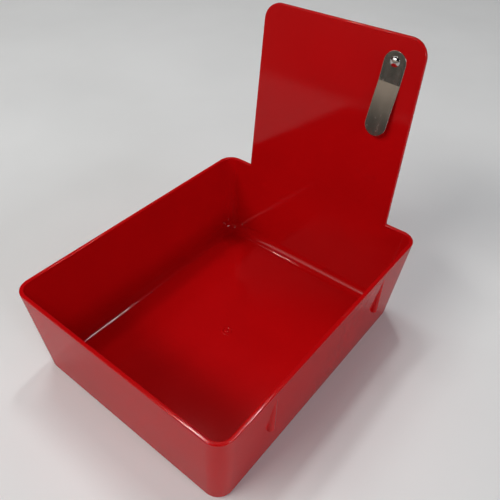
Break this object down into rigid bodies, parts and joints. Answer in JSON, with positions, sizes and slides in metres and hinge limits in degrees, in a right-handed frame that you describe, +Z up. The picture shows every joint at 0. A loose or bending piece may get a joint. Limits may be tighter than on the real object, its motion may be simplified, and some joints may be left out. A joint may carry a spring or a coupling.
{
  "type": "work pan with ticket clip",
  "caption": "Open rectangular plastic work pan with a tall upright card board moulded into its back wall and a riveted spring-steel clip that holds a job ticket.",
  "frame": {"origin": "centre of the tray's flat base, on the surface it stands on", "axes": "+Z up; +Y from the open front to the wall that carries the card board; +X to the right seen from the open front"},
  "size_m": [0.2, 0.2565, 0.23],
  "materials": {
    "pan_plastic": "semi-gloss moulded red polypropylene with a fine grain",
    "spring_steel": "polished, lightly scuffed strip",
    "rivet_steel": "bright plated"
  },
  "bodies": {
    "pan": {"pan": "pan_plastic", "rivet": "rivet_steel", "back_washer": "rivet_steel"},
    "clip": {"clip_heel": "spring_steel"},
    "tongue": {"clip_tongue": "spring_steel"}
  },
  "joints": [
    {"name": "clip_swivel", "type": "hinge", "parent": "pan", "child": "clip", "pos_m": [0.0477, 0.12879, 0.2117], "axis": [0, -0.9973, 0.073], "range_deg": [-86, 12]},
    {"name": "tongue_flex", "type": "hinge", "parent": "clip", "child": "tongue", "pos_m": [0.04688, 0.1273, 0.19619], "axis": [-0.9986, 0.0038, 0.0522], "range_deg": [-4, 12], "stiffness_Nm_per_rad": 1}
  ]
}
